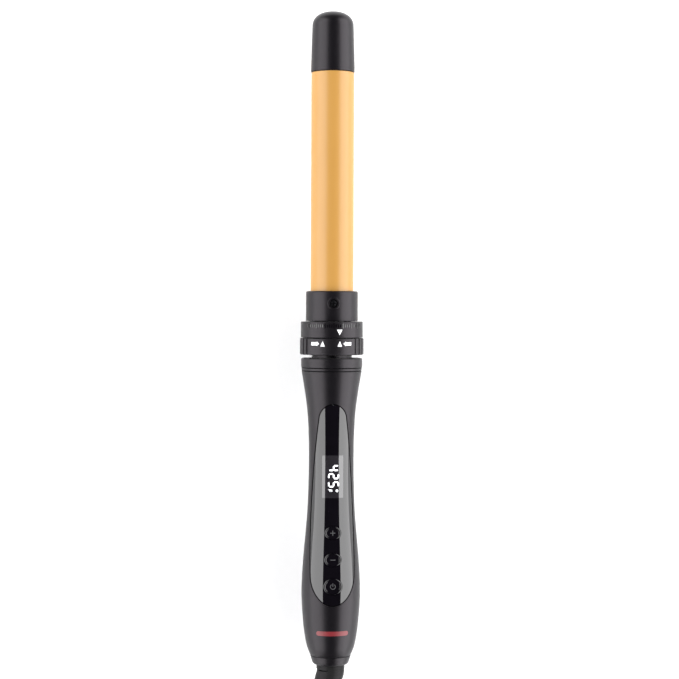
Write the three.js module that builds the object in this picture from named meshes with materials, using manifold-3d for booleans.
// A salon curling wand: a heated barrel with a cool tip, held in the handle by a bayonet lock ring,
// a moulded handle with a gloss control panel and three buttons, and a mains cord on a swivel.
// Millimetres, +Z up. The wand lies on its lock ring with the tip at +Y and the panel facing up.
// Along the wand a place is "s", measured from the tail end of the handle; the wand's axis is x = z = 0
// until the whole group is set down on the table at the end.
import * as THREE from "three";
import { mergeVertices } from "three/addons/utils/BufferGeometryUtils.js";
import Module from "manifold-3d";

const wasm = await Module();
wasm.setup();

// ---- Clearances and facet counts ----
const FIT = 0.3; // round or under a piece that is seated
const TURN_FIT = 0.4; // round a piece that turns or slides
const ROUND = 32; // sides of the wand's round pieces, with a flat facing up and one facing down
const SMALL_ROUND = 12; // sides of screws, pins and bosses

// ---- Barrel ----
const BARREL_RADIUS = 12.7;
const BARREL_WALL = 1.2;
const BARREL_LENGTH = 146.7; // the tube, from the foot of its collar to the cool tip
const TIP_LENGTH = 36;
const TIP_STEP = 0.3; // the tip's foot stands this proud of the barrel
const TIP_TAPER = 0.7;
const TIP_DOME = 9; // height of the rounded end
const TIP_WALL = 2.4;
const TIP_SKIRT = 8; // the part of the tip that plugs the tube
const COLLAR_LENGTH = 17.7;
const COLLAR_WALL = 2.4;
const COLLAR_EDGE = 1.2;
const COLLAR_SCREW_AT = 10.4; // above the collar's foot
const COLLAR_SCREW_RECESS = 2.9; // radius
const HEATER_LENGTH = 95;
const HEATER_FOOT = 33; // above the foot of the tube
const HEATER_WIDTH = 15;
const HEATER_THICKNESS = 2.4;
const INSULATOR_THICKNESS = 3;
const INSULATOR_HOLE = 2.5;
const THERMISTOR = { radius: 1.2, length: 8, up: 5 }; // up is its distance from the axis
const THERMAL_FUSE = { radius: 2, length: 12, up: -5 };

// ---- Bayonet: index ring and plug on the barrel, lock ring on the handle ----
const INDEX_STEP = 3; // the index ring is this much larger than the collar
const INDEX_LENGTH = 9.4;
const INDEX_SEAT = 0.6; // the tube stands on this much of the index ring, inside its own bore
const LOCK_STEP = 0.5; // the lock ring is this much larger than the index ring
const LOCK_LENGTH = 9.8;
const LOCK_WALL = 2.6;
const LOCK_FLOOR = 1.5;
const LOCK_LIP_LENGTH = 2;
const LOCK_EDGE = 0.7;
const LOCK_TURN = 31; // degrees from locked to open
const LUG_COUNT = 3;
const LUG_HEIGHT = 1.7;
const LUG_LENGTH = 3;
const LUG_WIDTH = 24; // degrees
const LUG_PLAY = 3; // degrees left free at both ends of a lug's path
const LUG_UP = 1; // above the plug's foot
const LUG_ROOT = 0.5; // how deep a lug is set into the plug's wall
const PLUG_WALL = 2;
const PLUG_FLOOR = 3;
const PIN_COUNT = 4;
const PIN_CIRCLE = 6; // radius of the circle that the contact pins stand on
const PIN_RADIUS = 1.1;
const PIN_DEPTH = 9; // below the plug's floor
const PIN_HEAD = 2; // above the plug's floor
const CONTACT_WALL = 0.5;
const SOCKET_FLANGE = 4; // thickness of the flange that holds the socket block in the handle
const SLEEVE_RADIUS = 11.9; // the lock ring's neck, which turns in the handle's mouth
const SLEEVE_WALL = 1;
const SLEEVE_BEAD = 1.3; // stands out round the sleeve's foot
const SLEEVE_BEAD_LENGTH = 2.4;

// ---- Handle ----
const HANDLE_LENGTH = 180.5;
const HANDLE_WALL = 2.2;
const HANDLE_TAIL_RADIUS = 12.2;
const HANDLE_BULGE_RADIUS = 17.4;
const HANDLE_WAIST_RADIUS = 13.3;
const HANDLE_MOUTH_RADIUS = 18.2;
const MOUTH_DEPTH = 6.5; // thickness of the bearing that the sleeve turns in
const NECK_GAP = 2; // between the handle and the lock ring
const PARTING = 0.3; // gap between the two half shells
const TRIM_RING_AT = 6.6; // below the handle's mouth, to the middle of the trim ring
const TRIM_RING_WIDTH = 1.4;
const TRIM_GROOVE_DEPTH = 1;
const TRIM_GROOVE_MARGIN = 0.55; // open groove on each side of the trim ring
const TAIL_RING_LENGTH = 5.4;
const TAIL_RING_END_RADIUS = 9.9;
const TAIL_RING_EDGE = 0.8;
const SCREW_RADIUS = 1.3;
const SCREW_HEAD_RADIUS = 2.5;
const SCREW_HEAD_HEIGHT = 1.6;
const SCREW_SUNK = 1.2; // head below the handle's surface
const SCREW_ENTRY = 5; // how far a screw reaches past the parting plane
const BOSS_WALL = 1.7;
const TAIL_SCREW_AT = 29.5;
const MOUTH_SCREW_AT = 23.5; // below the handle's mouth
const DETENT_AT = 3; // below the handle's mouth
const DETENT_BALL_RADIUS = 1.2;
const DETENT_SPRING_LENGTH = 2.2;

// ---- Control panel, buttons and electronics ----
const PANEL_LOW = 36.7; // s of the panel's lower end
const PANEL_LENGTH = 116.8;
const PANEL_LOW_HALF = 12.6; // half width where the lower round end begins
const PANEL_HIGH_HALF = 7.9; // half width where the upper round end begins
const PANEL_LOW_ROUND = 17; // height of the lower round end
const PANEL_HIGH_ROUND = 8.7;
const PANEL_LOW_PULL = { out: 0.6, share: 0.32 }; // bows the sides out above the lower round end
const PANEL_HIGH_PULL = { out: 2, share: 0.15 }; // and below the upper one
const PANEL_THICKNESS = 2;
const WINDOW_UP = 74.8; // centre of the display window above the panel's lower end
const WINDOW_LENGTH = 24.8;
const WINDOW_WIDTH = 12.5;
const WINDOW_CORNER = 1.2;
const BUTTON_TRAVEL = 0.6;
const BUTTON_PROUD = 0.4;
const BUTTONS = [
  { name: "power_button", up: 11.2, width: 11, length: 9.4 },
  { name: "minus_button", up: 26.6, width: 10, length: 7.8 },
  { name: "plus_button", up: 42.1, width: 9.6, length: 7.6 },
];
const BOARD_MARGIN = 0.8; // between the board's edges and the shells at the waist
const BOARD_THICKNESS = 1.6;
const BOARD_DROP = 8.1; // from the top of the waist down to the board's upper face
const BOARD_INSET = 6; // from each end of the panel
const SWITCH_SIZE = 6;
const SWITCH_HEIGHT = 3.6;
const DISPLAY_HEIGHT = 3.2;
const POWER_PACK = { width: 13, length: 34, height: 6.4, up: 24 };
const CAPACITOR = { radius: 3.4, length: 12, up: 64 };

// ---- Cord swivel ----
const SPINDLE_NECK_RADIUS = 8.4;
const SPINDLE_NECK_OUT = 3; // how far the neck shows behind the tail ring
const SPINDLE_SHAFT_RADIUS = 6;
const SPINDLE_HEAD_RADIUS = 8;
const SPINDLE_HEAD_LENGTH = 2;
const SPINDLE_CORE_RADIUS = 3.6;
const SPINDLE_BORE_RADIUS = 2.4;
const SWIVEL_HOUSING_LENGTH = 10;
const SWIVEL_HOUSING_RADIUS = 9.6;
const SLIP_RING_WALL = 0.9;
const SLIP_RING_WIDTH = 2;
const SLIP_RING_PITCH = 3.6;
const BRUSH_LENGTH = 4;
const BRUSH_WIDTH = 3;

// ---- Cord, hank and plug ----
const CORD_RADIUS = 3.25;
const CORD_SIDES = 10;
const CORD_LIFT = 0.1; // the cord's solids lie this far above the table
const BOOT_END_RADIUS = 4.7;
const BOOT_FOOT_RADIUS = 8.2;
const BOOT_TAPER = 1.3; // exponent: the boot stays thick near the handle
// The strain relief's own line, and the cord's line from its end to the hank: [x, s, z] from the axis.
const BOOT_ROUTE = [
  [0, -3.3, 0],
  [0, -4.8, 0],
  [-1.7, -10.8, -0.7],
  [-7.8, -29.5, -4.5],
  [-14.5, -50, -9.3],
];
const CORD_ROUTE = [
  [-14.6, -50.3, -9.36],
  [-18, -61, -11.7],
  [-22.2, -74, -14.2],
  [-26.9, -87, -15.3],
  [-31, -98, -15.5],
  [-33.2, -105, -15.5],
];
const HANK_X = -10; // middle of the hank
const HANK_S = -175;
const HANK_RUN = 110; // straight length between the folds
const HANK_FOLD_HALF = 26; // half width of the outer turns' folds, to the cord's centre
const HANK_WAIST_HALF = 9.75; // the same where the tie holds the bundle together
const HANK_LAYERS = 3;
const TIE_WIDTH = 8;
const TIE_THICKNESS = 1;
// The last of the cord, over the top of the hank to the plug: [x, s] from the hank's middle and z from
// the table.
const END_ROUTE = [
  [2, 76.6, 23.1],
  [-9, 74, 23.1],
  [-17.6, 66.5, 23.1],
  [-21, 56, 23.1],
  [-19.2, 45, 24.2],
  [-14.4, 34.5, 26.2],
  [-9.2, 24.8, 28],
  [-6.4, 18, 28.4],
  [-6, 14.5, 28.4],
];
const MAINS_PLUG = { x: -6, tail: 14, z: 28.4, relief: 14, body: 26, width: 22, height: 14, corner: 4 };
const BLADE = { thickness: 1.5, length: 17, height: 6.3, spacing: 12.7 };

// ---- Materials ----
const finish = (color, roughness, metalness = 0) =>
  new THREE.MeshStandardMaterial({ color, roughness, metalness });
const MATTE_BLACK = finish(0x1b191d, 0.5);
const GLOSS_BLACK = finish(0x050408, 0.08);
const CERAMIC_GOLD = finish(0xe4ab5c, 0.3, 0.15);
const SMOKED = finish(0x1c1a20, 0.05);
const RUBBER = finish(0x141414, 0.35);
const STEEL = finish(0x9a9a9c, 0.3, 1);
const BRASS = finish(0xc9a24a, 0.3, 1);
const ALUMINIUM = finish(0xb8babd, 0.4, 1);
const PHENOLIC = finish(0x6b4a2e, 0.7);
const BOARD_GREEN = finish(0x1f5a35, 0.5);
const CERAMIC_WHITE = finish(0xe8e4da, 0.5);

// ---- Solids ----
const degrees = THREE.MathUtils.degToRad;

// A geometry's faces as a manifold-3d solid.
function solidOf(geometry) {
  const bare = new THREE.BufferGeometry();
  const source = geometry.index ? geometry.toNonIndexed() : geometry;
  bare.setAttribute("position", source.getAttribute("position"));
  const merged = mergeVertices(bare, 1e-4);
  return new wasm.Manifold(
    new wasm.Mesh({
      numProp: 3,
      vertProperties: merged.getAttribute("position").array,
      triVerts: new Uint32Array(merged.index.array),
    }),
  );
}

// The same solid as a geometry again.
function geometryOf(solid) {
  const mesh = solid.getMesh();
  const geometry = new THREE.BufferGeometry();
  geometry.setAttribute("position", new THREE.BufferAttribute(mesh.vertProperties, 3));
  geometry.setIndex(new THREE.BufferAttribute(mesh.triVerts, 1));
  const faceted = geometry.toNonIndexed();
  faceted.computeVertexNormals();
  return faceted;
}

const combine = (first, others, how) =>
  geometryOf(others.reduce((made, next) => made[how](solidOf(next)), solidOf(first)));
const fuse = (first, ...others) => combine(first, others, "add");
const cut = (first, ...tools) => combine(first, tools, "subtract");
const common = (first, ...others) => combine(first, others, "intersect");

// A solid turned round the wand's axis from a list of [radius, s].
const turned = (profile, sides = ROUND) =>
  new THREE.LatheGeometry(
    profile.map(([radius, s]) => new THREE.Vector2(radius, s)),
    sides,
    Math.PI / sides,
  );
const ring = (inner, outer, low, high, sides = ROUND) =>
  turned([[inner, low], [outer, low], [outer, high], [inner, high], [inner, low]], sides);
const rod = (radius, low, high, sides = SMALL_ROUND) =>
  turned([[0, low], [radius, low], [radius, high], [0, high]], sides);
const block = (width, length, height) => new THREE.BoxGeometry(width, length, height);

// A cylinder that points away from the axis at an angle from +Z towards +X.
const spoke = (radius, from, to, angle, s, sides = SMALL_ROUND) =>
  new THREE.CylinderGeometry(radius, radius, to - from, sides)
    .translate(0, (from + to) / 2, 0)
    .rotateX(Math.PI / 2)
    .rotateY(angle)
    .translate(0, s, 0);

// An outline in x and s, made solid from z = low to high.
const upright = (shape, low, high, curveSegments = 12) =>
  new THREE.ExtrudeGeometry(shape, {
    depth: high - low,
    bevelEnabled: false,
    curveSegments,
  }).translate(0, 0, low);

// An outline in x and z, made solid from s = low to high.
const along = (shape, low, high, curveSegments = 8) =>
  new THREE.ExtrudeGeometry(shape, { depth: high - low, bevelEnabled: false, curveSegments })
    .rotateX(Math.PI / 2)
    .translate(0, high, 0);

// Part of a ring, centred on an angle from +Z towards +X.
function sector(inner, outer, angle, width, low, high) {
  const shape = new THREE.Shape();
  const middle = Math.PI / 2 - angle;
  shape.absarc(0, 0, outer, middle - width / 2, middle + width / 2, false);
  shape.absarc(0, 0, inner, middle + width / 2, middle - width / 2, true);
  return along(shape, low, high);
}

// A rectangle with round corners about the middle [x, y].
function roundedRectangle(width, height, corner, x = 0, y = 0) {
  const shape = new THREE.Shape();
  const right = x + width / 2 - corner;
  const left = x - width / 2 + corner;
  const top = y + height / 2 - corner;
  const bottom = y - height / 2 + corner;
  shape.absarc(right, top, corner, 0, Math.PI / 2, false);
  shape.absarc(left, top, corner, Math.PI / 2, Math.PI, false);
  shape.absarc(left, bottom, corner, Math.PI, Math.PI * 1.5, false);
  shape.absarc(right, bottom, corner, Math.PI * 1.5, Math.PI * 2, false);
  return shape;
}

function oval(width, length, x, s) {
  const shape = new THREE.Shape();
  shape.absellipse(x, s, width / 2, length / 2, 0, Math.PI * 2, false);
  return shape;
}

const curveOf = (points) => new THREE.CatmullRomCurve3(points.map((p) => new THREE.Vector3(...p)));

function add(group, name, geometry, material) {
  const mesh = new THREE.Mesh(geometry, material);
  mesh.name = name;
  group.add(mesh);
  return mesh;
}

// ---- Places that several pieces share ----
const lockFoot = HANDLE_LENGTH + NECK_GAP;
const indexFoot = lockFoot + LOCK_LENGTH + FIT;
const indexHead = indexFoot + INDEX_LENGTH;
const collarFoot = indexHead + FIT;
const tubeHead = collarFoot + BARREL_LENGTH;
const tipFoot = tubeHead + FIT;
const tipEnd = tipFoot + TIP_LENGTH;
const collarBore = BARREL_RADIUS + FIT;
const collarRadius = collarBore + COLLAR_WALL;
const indexRadius = collarRadius + INDEX_STEP;
const lockRadius = indexRadius + LOCK_STEP;
const lockBore = lockRadius - LOCK_WALL;
const lugRadius = lockBore - TURN_FIT;
const plugRadius = lugRadius - LUG_HEIGHT;
const plugFoot = lockFoot + LOCK_FLOOR + FIT;
const plugHead = indexFoot - FIT;
const lockBottom = lockRadius * Math.cos(Math.PI / ROUND); // the flat that the wand rests on
const sleeveBore = SLEEVE_RADIUS - SLEEVE_WALL;
const mouthBore = SLEEVE_RADIUS + TURN_FIT;
const beadRadius = SLEEVE_RADIUS + SLEEVE_BEAD;
const beadHead = HANDLE_LENGTH - MOUTH_DEPTH - TURN_FIT;
const beadFoot = beadHead - SLEEVE_BEAD_LENGTH;
const pinAngle = (k) => Math.PI / 4 + (k * Math.PI * 2) / PIN_COUNT;
const lugAngle = (k) => (k * Math.PI * 2) / LUG_COUNT;
const onPinCircle = (geometry, k) =>
  geometry.translate(PIN_CIRCLE * Math.sin(pinAngle(k)), 0, PIN_CIRCLE * Math.cos(pinAngle(k)));

// The handle's outline: [share of the handle's length, radius].
const bulgeDrop = HANDLE_BULGE_RADIUS - HANDLE_WAIST_RADIUS;
const mouthRise = HANDLE_MOUTH_RADIUS - HANDLE_WAIST_RADIUS;
const tailRise = HANDLE_BULGE_RADIUS - HANDLE_TAIL_RADIUS;
const tailRingHead = TAIL_RING_LENGTH;
const handleOutline = new THREE.SplineCurve(
  [
    [tailRingHead / HANDLE_LENGTH, HANDLE_TAIL_RADIUS],
    [0.066, HANDLE_TAIL_RADIUS + tailRise * 0.44],
    [0.133, HANDLE_TAIL_RADIUS + tailRise * 0.79],
    [0.233, HANDLE_BULGE_RADIUS],
    [0.34, HANDLE_WAIST_RADIUS + bulgeDrop * 0.79],
    [0.5, HANDLE_WAIST_RADIUS + bulgeDrop * 0.2],
    [0.665, HANDLE_WAIST_RADIUS],
    [0.8, HANDLE_WAIST_RADIUS + mouthRise * 0.13],
    [0.89, HANDLE_WAIST_RADIUS + mouthRise * 0.52],
    [0.965, HANDLE_WAIST_RADIUS + mouthRise * 0.96],
    [1, HANDLE_MOUTH_RADIUS],
  ].map(([share, radius]) => new THREE.Vector2(radius, share * HANDLE_LENGTH)),
).getPoints(17);

// The handle's outer radius at a place along it.
function handleRadius(s) {
  const k = THREE.MathUtils.clamp(
    handleOutline.findIndex((p) => p.y >= s),
    1,
    handleOutline.length - 1,
  );
  const [a, b] = [handleOutline[k - 1], handleOutline[k]];
  return THREE.MathUtils.mapLinear(s, a.y, b.y, a.x, b.x);
}

// The handle's outer form, made larger by offset, as a solid without a hollow.
const handleForm = (offset) =>
  turned([
    [0, tailRingHead],
    ...handleOutline.map((p) => [p.x + offset, p.y]),
    [0, HANDLE_LENGTH],
  ]);

// ---- Barrel ----
function makeCoolTip() {
  const skirtRadius = BARREL_RADIUS - BARREL_WALL - FIT;
  const footRadius = BARREL_RADIUS + TIP_STEP;
  const headRadius = footRadius - TIP_TAPER;
  const domeFoot = tipEnd - TIP_DOME;
  const flatness = 2.3; // exponent of the dome's superellipse
  const steps = 7;
  const dome = [];
  for (let k = 0; k <= steps; k++) {
    const turn = (k / steps) * (Math.PI / 2);
    dome.push([
      k === steps ? 0 : headRadius * Math.cos(turn) ** (2 / flatness),
      domeFoot + TIP_DOME * Math.sin(turn) ** (2 / flatness),
    ]);
  }
  return turned([
    [0, tipEnd - TIP_WALL * 2],
    [skirtRadius - TIP_WALL, tipEnd - TIP_DOME],
    [skirtRadius - TIP_WALL, tipFoot - TIP_SKIRT],
    [skirtRadius, tipFoot - TIP_SKIRT],
    [skirtRadius, tipFoot],
    [footRadius, tipFoot],
    ...dome,
  ]);
}

function makeBarrelTube() {
  const tube = ring(BARREL_RADIUS - BARREL_WALL, BARREL_RADIUS, collarFoot, tubeHead);
  return cut(tube, ...collarScrewTools(SCREW_RADIUS + FIT, 0));
}

// The two collar screws stand at the front and the back.
const collarScrewTools = (radius, from) =>
  [0, Math.PI].map((angle) =>
    spoke(radius, from, collarRadius + 1, angle, collarFoot + COLLAR_SCREW_AT),
  );

function makeCollar() {
  const head = collarFoot + COLLAR_LENGTH;
  const body = turned([
    [collarBore, collarFoot],
    [collarRadius, collarFoot],
    [collarRadius, head - COLLAR_EDGE],
    [collarRadius - COLLAR_EDGE * 0.3, head - COLLAR_EDGE * 0.3],
    [collarRadius - COLLAR_EDGE, head],
    [collarBore, head],
    [collarBore, collarFoot],
  ]);
  const seat = collarBore + COLLAR_WALL / 2;
  return cut(
    body,
    ...collarScrewTools(SCREW_RADIUS + FIT, 0),
    ...collarScrewTools(COLLAR_SCREW_RECESS, seat - FIT),
  );
}

function makeCollarScrew(angle) {
  const seat = collarBore + COLLAR_WALL / 2;
  const s = collarFoot + COLLAR_SCREW_AT;
  const foot = BARREL_RADIUS - BARREL_WALL;
  return fuse(
    spoke(SCREW_RADIUS, foot, seat + SCREW_HEAD_HEIGHT / 2, angle, s),
    spoke(SCREW_HEAD_RADIUS, seat, collarRadius - FIT, angle, s),
  );
}

// Half of the aluminium core that presses the heater against the tube.
function makeHeaterCore(side) {
  const radius = BARREL_RADIUS - BARREL_WALL - FIT;
  const flat = HEATER_THICKNESS / 2 + FIT;
  const reach = Math.asin(flat / radius);
  const shape = new THREE.Shape();
  shape.absarc(0, 0, radius, reach, Math.PI - reach, false);
  const foot = collarFoot + HEATER_FOOT;
  return along(shape, foot, foot + HEATER_LENGTH, 14).rotateY(side > 0 ? 0 : Math.PI);
}

function makeIndexRing() {
  const edge = 0.6;
  const bore = BARREL_RADIUS - BARREL_WALL - INDEX_SEAT;
  return turned([
    [bore, indexFoot],
    [indexRadius - edge, indexFoot],
    [indexRadius, indexFoot + edge],
    [indexRadius, indexHead - edge],
    [indexRadius - edge, indexHead],
    [bore, indexHead],
    [bore, indexFoot],
  ]);
}

function makeBayonetPlug() {
  const cup = turned([
    [0, plugFoot],
    [plugRadius, plugFoot],
    [plugRadius, plugHead],
    [plugRadius - PLUG_WALL, plugHead],
    [plugRadius - PLUG_WALL, plugFoot + PLUG_FLOOR],
    [0, plugFoot + PLUG_FLOOR],
  ]);
  const lugs = [];
  const holes = [];
  for (let k = 0; k < LUG_COUNT; k++) {
    const foot = plugFoot + LUG_UP;
    lugs.push(
      sector(plugRadius - LUG_ROOT, lugRadius, lugAngle(k), degrees(LUG_WIDTH), foot, foot + LUG_LENGTH),
    );
  }
  for (let k = 0; k < PIN_COUNT; k++)
    holes.push(onPinCircle(rod(PIN_RADIUS + FIT, plugFoot - 1, plugFoot + PLUG_FLOOR + 1), k));
  return cut(fuse(cup, ...lugs), ...holes);
}

const barrel = new THREE.Group();
add(barrel, "cool_tip", makeCoolTip(), MATTE_BLACK);
add(barrel, "barrel_tube", makeBarrelTube(), CERAMIC_GOLD);
add(barrel, "barrel_collar", makeCollar(), MATTE_BLACK);
add(barrel, "collar_screw_front", makeCollarScrew(0), STEEL);
add(barrel, "collar_screw_back", makeCollarScrew(Math.PI), STEEL);
add(barrel, "index_ring", makeIndexRing(), MATTE_BLACK);
add(barrel, "bayonet_plug", makeBayonetPlug(), MATTE_BLACK);
add(barrel, "heater_core_front", makeHeaterCore(1), ALUMINIUM);
add(barrel, "heater_core_back", makeHeaterCore(-1), ALUMINIUM);
const heater = block(HEATER_WIDTH, HEATER_LENGTH, HEATER_THICKNESS);
add(barrel, "ceramic_heater", heater, CERAMIC_WHITE).position.y =
  collarFoot + HEATER_FOOT + HEATER_LENGTH / 2;
const insulatorHead = tipFoot - TIP_SKIRT - FIT;
const insulatorRadius = BARREL_RADIUS - BARREL_WALL - FIT;
add(
  barrel,
  "tip_insulator",
  ring(INSULATOR_HOLE, insulatorRadius, insulatorHead - INSULATOR_THICKNESS, insulatorHead, 24),
  PHENOLIC,
);
const sensorHead = collarFoot + HEATER_FOOT - FIT;
const sensor = ({ radius, length }) => rod(radius, sensorHead - length, sensorHead);
add(barrel, "thermistor", sensor(THERMISTOR), CERAMIC_WHITE).position.z = THERMISTOR.up;
add(barrel, "thermal_fuse", sensor(THERMAL_FUSE), STEEL).position.z = THERMAL_FUSE.up;
for (let k = 0; k < PIN_COUNT; k++) {
  const head = plugFoot + PLUG_FLOOR + PIN_HEAD;
  const pin = onPinCircle(rod(PIN_RADIUS, plugFoot - PIN_DEPTH, head), k);
  add(barrel, `contact_pin_${k + 1}`, pin, BRASS);
}

// ---- Lock ring ----
function makeLockRing() {
  const head = lockFoot + LOCK_LENGTH;
  const body = turned([
    [sleeveBore, beadFoot],
    [beadRadius, beadFoot],
    [beadRadius, beadHead],
    [SLEEVE_RADIUS, beadHead],
    [SLEEVE_RADIUS, lockFoot],
    [lockRadius - LOCK_EDGE, lockFoot],
    [lockRadius, lockFoot + LOCK_EDGE],
    [lockRadius, head - LOCK_EDGE],
    [lockRadius - LOCK_EDGE, head],
    [plugRadius + TURN_FIT, head],
    [plugRadius + TURN_FIT, head - LOCK_LIP_LENGTH],
    [lockBore, head - LOCK_LIP_LENGTH],
    [lockBore, lockFoot + LOCK_FLOOR],
    [sleeveBore, lockFoot + LOCK_FLOOR],
    [sleeveBore, beadFoot],
  ]);
  // The lip is open wherever a lug passes, from the locked place to the open one.
  const path = LUG_WIDTH + LOCK_TURN + 2 * LUG_PLAY;
  const slots = [];
  for (let k = 0; k < LUG_COUNT; k++) {
    const middle = lugAngle(k) - degrees(LOCK_TURN / 2);
    const foot = head - LOCK_LIP_LENGTH - 1;
    slots.push(sector(plugRadius - 1, lockBore, middle, degrees(path), foot, head + 1));
  }
  return cut(body, ...slots);
}

const lockRing = new THREE.Group();
add(lockRing, "lock_ring", makeLockRing(), MATTE_BLACK);

// ---- Handle shells ----
// The panel's outline, grown by margin on every side.
function panelOutline(margin) {
  const lowHalf = PANEL_LOW_HALF + margin;
  const highHalf = PANEL_HIGH_HALF + margin;
  const lowRound = PANEL_LOW + PANEL_LOW_ROUND;
  const highRound = PANEL_LOW + PANEL_LENGTH - PANEL_HIGH_ROUND;
  const side = highRound - lowRound;
  const shape = new THREE.Shape();
  const [lowHeight, highHeight] = [PANEL_LOW_ROUND + margin, PANEL_HIGH_ROUND + margin];
  const lowPull = [lowHalf + PANEL_LOW_PULL.out, lowRound + side * PANEL_LOW_PULL.share];
  const highPull = [highHalf + PANEL_HIGH_PULL.out, highRound - side * PANEL_HIGH_PULL.share];
  shape.absellipse(0, lowRound, lowHalf, lowHeight, Math.PI, Math.PI * 2, false);
  shape.bezierCurveTo(...lowPull, ...highPull, highHalf, highRound);
  shape.absellipse(0, highRound, highHalf, highHeight, 0, Math.PI, false);
  shape.bezierCurveTo(-highPull[0], highPull[1], -lowPull[0], lowPull[1], -lowHalf, lowRound);
  return shape;
}

const mouthScrewAt = HANDLE_LENGTH - MOUTH_SCREW_AT;
const swivelFoot = tailRingHead + FIT * 2;
const swivelHead = swivelFoot + SWIVEL_HOUSING_LENGTH;

// Both half shells in one piece, before they are parted.
function makeHollowHandle() {
  const beadChamber = beadRadius + TURN_FIT;
  const chamberHead = beadHead + TURN_FIT;
  const chamberFoot = beadFoot - TURN_FIT;
  const tailBore = SWIVEL_HOUSING_RADIUS + FIT;
  const inside = handleOutline
    .filter((p) => p.y > swivelHead && p.y < chamberFoot)
    .map((p) => [p.x - HANDLE_WALL, p.y]);
  const hollow = turned([
    [0, tailRingHead - 1],
    [tailBore, tailRingHead - 1],
    [tailBore, swivelHead],
    [handleRadius(swivelHead) - HANDLE_WALL, swivelHead],
    ...inside,
    [handleRadius(chamberFoot) - HANDLE_WALL, chamberFoot],
    [beadChamber, chamberFoot],
    [beadChamber, chamberHead],
    [mouthBore, chamberHead],
    [mouthBore, HANDLE_LENGTH + 1],
    [0, HANDLE_LENGTH + 1],
  ]);
  const grooveMiddle = HANDLE_LENGTH - TRIM_RING_AT;
  const grooveHalf = TRIM_RING_WIDTH / 2 + TRIM_GROOVE_MARGIN;
  const floor = handleRadius(grooveMiddle) - TRIM_GROOVE_DEPTH;
  const groove = ring(
    floor,
    HANDLE_MOUTH_RADIUS + 2,
    grooveMiddle - grooveHalf,
    grooveMiddle + grooveHalf,
  );
  return cut(handleForm(0), hollow, groove);
}

const halfSpace = (front) => {
  const size = 60;
  const length = HANDLE_LENGTH + 20;
  const z = (size / 2 + PARTING / 2) * (front ? 1 : -1);
  return block(size, length, size).translate(0, HANDLE_LENGTH / 2, z);
};

// A screw's post, from the parting plane into the wall of a half shell.
const post = (front, s) =>
  common(
    spoke(SCREW_RADIUS + FIT + BOSS_WALL, 0, HANDLE_MOUTH_RADIUS, front ? 0 : Math.PI, s),
    handleForm(-HANDLE_WALL / 2),
    halfSpace(front),
  );

const hollowHandle = makeHollowHandle();

function makeFrontShell() {
  const half = common(hollowHandle, halfSpace(true));
  const whole = fuse(half, post(true, TAIL_SCREW_AT), post(true, mouthScrewAt));
  const holes = [TAIL_SCREW_AT, mouthScrewAt].map((s) =>
    spoke(SCREW_RADIUS + FIT, 0, SCREW_ENTRY + 1, 0, s),
  );
  return cut(whole, upright(panelOutline(FIT), PARTING, HANDLE_MOUTH_RADIUS + 5), ...holes);
}

function makeRearShell() {
  const half = common(hollowHandle, halfSpace(false));
  const whole = fuse(half, post(false, TAIL_SCREW_AT), post(false, mouthScrewAt));
  const holes = [TAIL_SCREW_AT, mouthScrewAt].flatMap((s) => [
    spoke(SCREW_RADIUS + FIT, 0, HANDLE_MOUTH_RADIUS + 2, Math.PI, s),
    spoke(
      SCREW_HEAD_RADIUS + FIT,
      handleRadius(s) - SCREW_SUNK - SCREW_HEAD_HEIGHT - FIT,
      HANDLE_MOUTH_RADIUS + 2,
      Math.PI,
      s,
    ),
  ]);
  const detentEnd = mouthBore + DETENT_BALL_RADIUS * 2 + DETENT_SPRING_LENGTH + FIT;
  const pocket = spoke(
    DETENT_BALL_RADIUS + FIT,
    SLEEVE_RADIUS,
    detentEnd,
    Math.PI,
    HANDLE_LENGTH - DETENT_AT,
  );
  return cut(whole, ...holes, pocket);
}

function makeShellScrew(s) {
  const headTop = handleRadius(s) - SCREW_SUNK;
  const headFoot = headTop - SCREW_HEAD_HEIGHT;
  return fuse(
    spoke(SCREW_HEAD_RADIUS, headFoot, headTop, Math.PI, s),
    spoke(SCREW_RADIUS, -SCREW_ENTRY, headFoot + SCREW_HEAD_HEIGHT / 2, Math.PI, s),
  );
}

function makeTrimRing() {
  const middle = HANDLE_LENGTH - TRIM_RING_AT;
  const outer = handleRadius(middle) - 0.1;
  const inner = handleRadius(middle) - TRIM_GROOVE_DEPTH + FIT;
  return ring(inner, outer, middle - TRIM_RING_WIDTH / 2, middle + TRIM_RING_WIDTH / 2);
}

function makeTailRing() {
  const bore = SPINDLE_NECK_RADIUS + TURN_FIT;
  const head = tailRingHead - FIT;
  return turned([
    [bore, 0],
    [TAIL_RING_END_RADIUS, 0],
    [TAIL_RING_END_RADIUS + TAIL_RING_EDGE, TAIL_RING_EDGE],
    [HANDLE_TAIL_RADIUS - 0.1, head],
    [bore, head],
    [bore, 0],
  ]);
}

// ---- Socket for the barrel's pins ----
const contactRadius = PIN_RADIUS + FIT + CONTACT_WALL;
const socketHead = plugFoot - FIT;
const contactFoot = plugFoot - PIN_DEPTH - 1;

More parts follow.
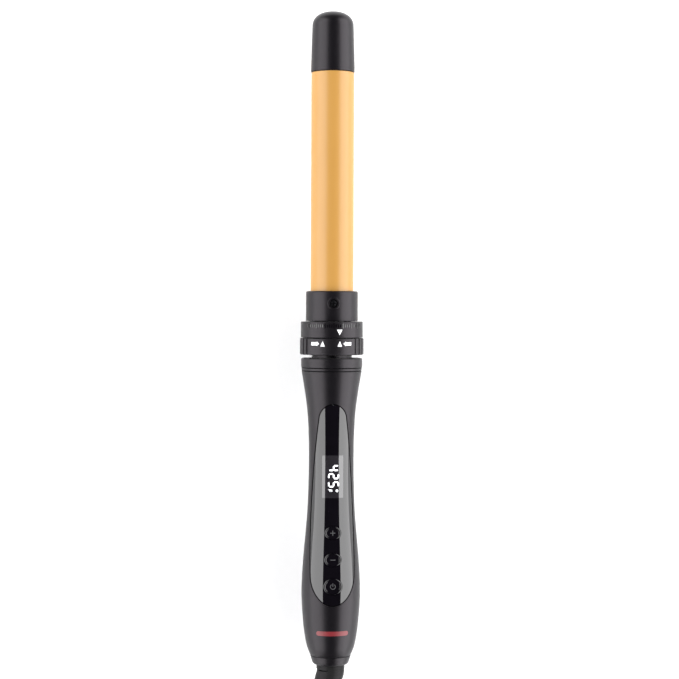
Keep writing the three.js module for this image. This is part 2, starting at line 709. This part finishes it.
function makeSocketBlock() {
  const flangeHead = beadFoot - TURN_FIT - FIT;
  const flangeFoot = flangeHead - SOCKET_FLANGE;
  const flangeRadius = handleRadius(flangeFoot) - HANDLE_WALL - FIT;
  const radius = sleeveBore - FIT;
  const foot = mouthScrewAt + SCREW_RADIUS + FIT + BOSS_WALL + FIT;
  const body = turned([
    [0, foot],
    [radius, foot],
    [radius, flangeFoot],
    [flangeRadius, flangeFoot],
    [flangeRadius, flangeHead],
    [radius, flangeHead],
    [radius, socketHead],
    [0, socketHead],
  ]);
  const holes = [];
  for (let k = 0; k < PIN_COUNT; k++)
    holes.push(onPinCircle(rod(contactRadius + FIT, contactFoot - FIT, socketHead + 1), k));
  return cut(body, ...holes);
}

// ---- Panel, window and buttons ----
const panelSkin = (proud, thickness) => cut(handleForm(proud), handleForm(proud - thickness));
const windowMiddle = PANEL_LOW + WINDOW_UP;
const windowOutline = (margin) =>
  roundedRectangle(
    WINDOW_WIDTH + margin * 2,
    WINDOW_LENGTH + margin * 2,
    WINDOW_CORNER + margin,
    0,
    windowMiddle,
  );
const buttonOutline = (button, margin) =>
  oval(button.width + margin * 2, button.length + margin * 2, 0, PANEL_LOW + button.up);
const farAbove = HANDLE_MOUTH_RADIUS + 5;
const boardLow = PANEL_LOW + BOARD_INSET;
const boardHigh = PANEL_LOW + PANEL_LENGTH - BOARD_INSET;
const boardTop = HANDLE_WAIST_RADIUS - BOARD_DROP;
const boardHalf = Math.sqrt((HANDLE_WAIST_RADIUS - HANDLE_WALL) ** 2 - boardTop ** 2) - BOARD_MARGIN;
const switchHead = boardTop + FIT + SWITCH_HEIGHT;

function makePanel() {
  const skin = common(panelSkin(0, PANEL_THICKNESS), upright(panelOutline(0), PARTING, farAbove));
  return cut(
    skin,
    upright(windowOutline(FIT), 0, farAbove),
    ...BUTTONS.map((button) => upright(buttonOutline(button, FIT), 0, farAbove, 8)),
  );
}

const makeWindow = () =>
  common(panelSkin(0, PANEL_THICKNESS * 0.8), upright(windowOutline(0), 0, farAbove, 4));

// A button's stem reaches down to its switch, with room to travel.
const makeButton = (button) =>
  common(
    handleForm(BUTTON_PROUD),
    upright(buttonOutline(button, 0), switchHead + BUTTON_TRAVEL + FIT, farAbove, 8),
  );

const handle = new THREE.Group();
add(handle, "front_shell", makeFrontShell(), MATTE_BLACK);
add(handle, "rear_shell", makeRearShell(), MATTE_BLACK);
add(handle, "trim_ring", makeTrimRing(), MATTE_BLACK);
add(handle, "tail_ring", makeTailRing(), MATTE_BLACK);
add(handle, "shell_screw_tail", makeShellScrew(TAIL_SCREW_AT), STEEL);
add(handle, "shell_screw_mouth", makeShellScrew(mouthScrewAt), STEEL);
add(handle, "socket_block", makeSocketBlock(), PHENOLIC);
for (let k = 0; k < PIN_COUNT; k++) {
  const contact = ring(PIN_RADIUS + FIT, contactRadius, contactFoot, socketHead, SMALL_ROUND);
  add(handle, `socket_contact_${k + 1}`, onPinCircle(contact, k), BRASS);
}
const detent = HANDLE_LENGTH - DETENT_AT;
const ballAt = mouthBore + DETENT_BALL_RADIUS;
const ball = new THREE.SphereGeometry(DETENT_BALL_RADIUS, 12, 8);
add(handle, "detent_ball", ball, STEEL).position.set(0, detent, -ballAt);
const springFoot = ballAt + DETENT_BALL_RADIUS + FIT;
const spring = ring(0.6, DETENT_BALL_RADIUS, 0, DETENT_SPRING_LENGTH - FIT, 12).rotateX(-Math.PI / 2);
add(handle, "detent_spring", spring, STEEL).position.set(0, detent, -springFoot);
add(handle, "control_panel", makePanel(), GLOSS_BLACK);
add(handle, "display_window", makeWindow(), SMOKED);
const display = block(WINDOW_WIDTH - 1, WINDOW_LENGTH - 1, DISPLAY_HEIGHT);
const displayUp = boardTop + FIT + DISPLAY_HEIGHT / 2;
add(handle, "display_module", display, SMOKED).position.set(0, windowMiddle, displayUp);
const board = block(boardHalf * 2, boardHigh - boardLow, BOARD_THICKNESS);
const boardMiddle = (boardLow + boardHigh) / 2;
const boardFoot = boardTop - BOARD_THICKNESS;
add(handle, "circuit_board", board, BOARD_GREEN).position.set(
  0,
  boardMiddle,
  boardTop - BOARD_THICKNESS / 2,
);
for (const button of BUTTONS) {
  const size = [SWITCH_SIZE, SWITCH_SIZE, SWITCH_HEIGHT];
  const at = [0, PANEL_LOW + button.up, switchHead - SWITCH_HEIGHT / 2];
  add(handle, button.name.replace("button", "switch"), block(...size), STEEL).position.set(...at);
}
const pack = block(POWER_PACK.width, POWER_PACK.length, POWER_PACK.height);
const packDrop = boardFoot - FIT - POWER_PACK.height / 2;
add(handle, "power_module", pack, PHENOLIC).position.set(0, boardLow + POWER_PACK.up, packDrop);
const capacitorDrop = boardFoot - FIT - CAPACITOR.radius;
const capacitor = rod(CAPACITOR.radius, 0, CAPACITOR.length);
add(handle, "capacitor", capacitor, ALUMINIUM).position.set(
  0,
  boardLow + CAPACITOR.up,
  capacitorDrop,
);

const buttons = new THREE.Group();
for (const button of BUTTONS) add(buttons, button.name, makeButton(button), GLOSS_BLACK);

// ---- Swivel ----
const shaftBore = SPINDLE_SHAFT_RADIUS + TURN_FIT;
const spindleHead = swivelHead + TURN_FIT;
const coreFoot = spindleHead + SPINDLE_HEAD_LENGTH;
const slipRingFoot = (k) => coreFoot + FIT * 2 + k * SLIP_RING_PITCH;
const slipRingRadius = SPINDLE_CORE_RADIUS + FIT + SLIP_RING_WALL;
const coreHead = slipRingFoot(1) + SLIP_RING_WIDTH + FIT;

function makeSpindle() {
  const shoulder = tailRingHead - FIT;
  return turned(
    [
      [SPINDLE_BORE_RADIUS, -SPINDLE_NECK_OUT],
      [SPINDLE_NECK_RADIUS, -SPINDLE_NECK_OUT],
      [SPINDLE_NECK_RADIUS, shoulder],
      [SPINDLE_SHAFT_RADIUS, shoulder],
      [SPINDLE_SHAFT_RADIUS, spindleHead],
      [SPINDLE_HEAD_RADIUS, spindleHead],
      [SPINDLE_HEAD_RADIUS, coreFoot],
      [SPINDLE_CORE_RADIUS, coreFoot],
      [SPINDLE_CORE_RADIUS, coreHead],
      [SPINDLE_BORE_RADIUS, coreHead],
      [SPINDLE_BORE_RADIUS, -SPINDLE_NECK_OUT],
    ],
    24,
  );
}

const housing = ring(shaftBore, SWIVEL_HOUSING_RADIUS, swivelFoot, swivelHead, 24);
add(handle, "swivel_housing", housing, BRASS);
const brushX = slipRingRadius + TURN_FIT + BRUSH_LENGTH / 2;
for (let k = 0; k < 2; k++) {
  const brush = block(BRUSH_LENGTH, SLIP_RING_WIDTH, BRUSH_WIDTH);
  const s = slipRingFoot(k) + SLIP_RING_WIDTH / 2;
  add(handle, `brush_${k + 1}`, brush, BRASS).position.set(brushX, s, 0);
}
const holderDepth = 2.4;
const holder = block(holderDepth, coreHead - coreFoot, BRUSH_WIDTH * 2);
const holderX = brushX + BRUSH_LENGTH / 2 + FIT + holderDepth / 2;
const holderS = (coreFoot + coreHead) / 2;
add(handle, "brush_holder", holder, PHENOLIC).position.set(holderX, holderS, 0);

const cordSet = new THREE.Group();
add(cordSet, "swivel_spindle", makeSpindle(), RUBBER);
for (let k = 0; k < 2; k++) {
  const foot = slipRingFoot(k);
  const inner = SPINDLE_CORE_RADIUS + FIT;
  const slipRing = ring(inner, slipRingRadius, foot, foot + SLIP_RING_WIDTH, 24);
  add(cordSet, `slip_ring_${k + 1}`, slipRing, BRASS);
}

// ---- Strain relief: a taper turned straight, then laid along its own line ----
function makeBoot() {
  const route = curveOf(BOOT_ROUTE);
  const length = route.getLength();
  const steps = 12;
  const profile = [[0, 0]];
  for (let k = 0; k <= steps; k++) {
    const share = k / steps;
    const radius = THREE.MathUtils.lerp(BOOT_FOOT_RADIUS, BOOT_END_RADIUS, share ** BOOT_TAPER);
    profile.push([radius, share * length]);
  }
  profile.push([0, length]);
  const boot = turned(profile, SMALL_ROUND);
  return laidAlong(boot, route, length);
}

// Moves each vertex from the straight axis +Y onto the curve.
function laidAlong(geometry, route, length) {
  const position = geometry.getAttribute("position");
  const up = new THREE.Vector3(0, 0, 1);
  for (let k = 0; k < position.count; k++) {
    const share = THREE.MathUtils.clamp(position.getY(k) / length, 0, 1);
    const forward = route.getTangentAt(share);
    const side = new THREE.Vector3().crossVectors(forward, up).normalize();
    const above = new THREE.Vector3().crossVectors(side, forward);
    const place = route
      .getPointAt(share)
      .addScaledVector(side, position.getX(k))
      .addScaledVector(above, position.getZ(k));
    position.setXYZ(k, place.x, place.y, place.z);
  }
  return geometry;
}

add(cordSet, "strain_relief", makeBoot(), RUBBER);

// ---- Cord, hank, tie and plug: they lie on the table ----
const table = -lockBottom + CORD_LIFT;
const hankHeight = HANK_LAYERS * CORD_RADIUS * 2;

// The cord's half width about the hank's middle line, u along the run from the hank's middle.
const hankHalf = (u, fold, waist) => {
  const share = Math.min(Math.abs(u) / (HANK_RUN / 2), 1);
  return waist + (fold - waist) * (0.5 - 0.5 * Math.cos(Math.PI * share));
};

function hankOutline(margin) {
  const shape = new THREE.Shape();
  const half = HANK_RUN / 2;
  const steps = 12;
  const fold = HANK_FOLD_HALF + CORD_RADIUS + margin;
  const waist = HANK_WAIST_HALF + CORD_RADIUS + margin;
  shape.absarc(HANK_X, HANK_S + half, fold, 0, Math.PI, false);
  for (let k = 1; k < steps; k++) {
    const u = half - (k / steps) * HANK_RUN;
    shape.lineTo(HANK_X - hankHalf(u, fold, waist), HANK_S + u);
  }
  shape.absarc(HANK_X, HANK_S - half, fold, Math.PI, Math.PI * 2, false);
  for (let k = 1; k < steps; k++) {
    const u = -half + (k / steps) * HANK_RUN;
    shape.lineTo(HANK_X + hankHalf(u, fold, waist), HANK_S + u);
  }
  return shape;
}

function makeHank() {
  const body = upright(hankOutline(0), table, table + hankHeight, 10);
  const width = (HANK_WAIST_HALF + CORD_RADIUS) * 2 + 8;
  const notch = block(width, TIE_WIDTH + FIT * 4, (TIE_THICKNESS + FIT) * 2);
  return cut(body, notch.translate(HANK_X, HANK_S, table));
}

function makeTie() {
  const hole = (HANK_WAIST_HALF + CORD_RADIUS + FIT * 2) * 2;
  const height = hankHeight + FIT + TIE_THICKNESS;
  const middle = table + height / 2;
  const shape = roundedRectangle(hole + TIE_THICKNESS * 2, height, 2, HANK_X, middle);
  const inner = roundedRectangle(hole, height - TIE_THICKNESS * 2, 0.4, HANK_X, middle);
  shape.holes.push(inner);
  return along(shape, HANK_S - TIE_WIDTH / 2, HANK_S + TIE_WIDTH / 2, 4);
}

// A round cord along a list of points, with one step for every two and a half diameters.
function makeCord(points) {
  const route = curveOf(points);
  const section = new THREE.Shape();
  for (let k = 0; k < CORD_SIDES; k++) {
    const turn = (k * Math.PI * 2) / CORD_SIDES;
    const [x, y] = [CORD_RADIUS * Math.cos(turn), CORD_RADIUS * Math.sin(turn)];
    if (k === 0) section.moveTo(x, y);
    else section.lineTo(x, y);
  }
  const steps = Math.max(4, Math.round(route.getLength() / (CORD_RADIUS * 5)));
  return new THREE.ExtrudeGeometry(section, { steps, extrudePath: route, bevelEnabled: false });
}

const aroundHank = upright(hankOutline(FIT), table - 5, table + hankHeight + FIT, 10);
const endRoute = END_ROUTE.map(([x, s, z]) => [HANK_X + x, HANK_S + s, table + z]);
add(cordSet, "cord", cut(makeCord(CORD_ROUTE), aroundHank), RUBBER);
add(cordSet, "cord_hank", makeHank(), RUBBER);
add(cordSet, "cord_tie", makeTie(), RUBBER);
add(cordSet, "cord_end", makeCord(endRoute), RUBBER);

const plugX = HANK_X + MAINS_PLUG.x;
const plugZ = table + MAINS_PLUG.z;
const plugTail = HANK_S + MAINS_PLUG.tail;
const plugShoulder = plugTail - MAINS_PLUG.relief;
const plugFace = plugShoulder - MAINS_PLUG.body;

function makeMainsPlug() {
  const section = roundedRectangle(MAINS_PLUG.width, MAINS_PLUG.height, MAINS_PLUG.corner);
  const body = along(section, plugFace, plugShoulder, 5);
  const relief = turned(
    [
      [0, plugShoulder - 2],
      [MAINS_PLUG.height / 2 - 0.5, plugShoulder - 2],
      [MAINS_PLUG.height / 2 - 0.5, plugShoulder],
      [CORD_RADIUS + 1.2, plugTail],
      [0, plugTail],
    ],
    SMALL_ROUND,
  );
  return fuse(body, relief).translate(plugX, 0, plugZ);
}

add(cordSet, "plug_body", makeMainsPlug(), RUBBER);
for (const side of [-1, 1]) {
  const blade = block(BLADE.thickness, BLADE.length, BLADE.height);
  const name = side < 0 ? "plug_blade_left" : "plug_blade_right";
  const x = plugX + (side * BLADE.spacing) / 2;
  add(cordSet, name, blade, BRASS).position.set(x, plugFace - FIT - BLADE.length / 2, plugZ);
}

// ---- The whole wand, set down with its middle over the origin ----
const wand = new THREE.Group();
wand.add(barrel, lockRing, handle, buttons, cordSet);
wand.position.set(0, -(tipEnd - SPINDLE_NECK_OUT) / 2, lockBottom);

export default wand;
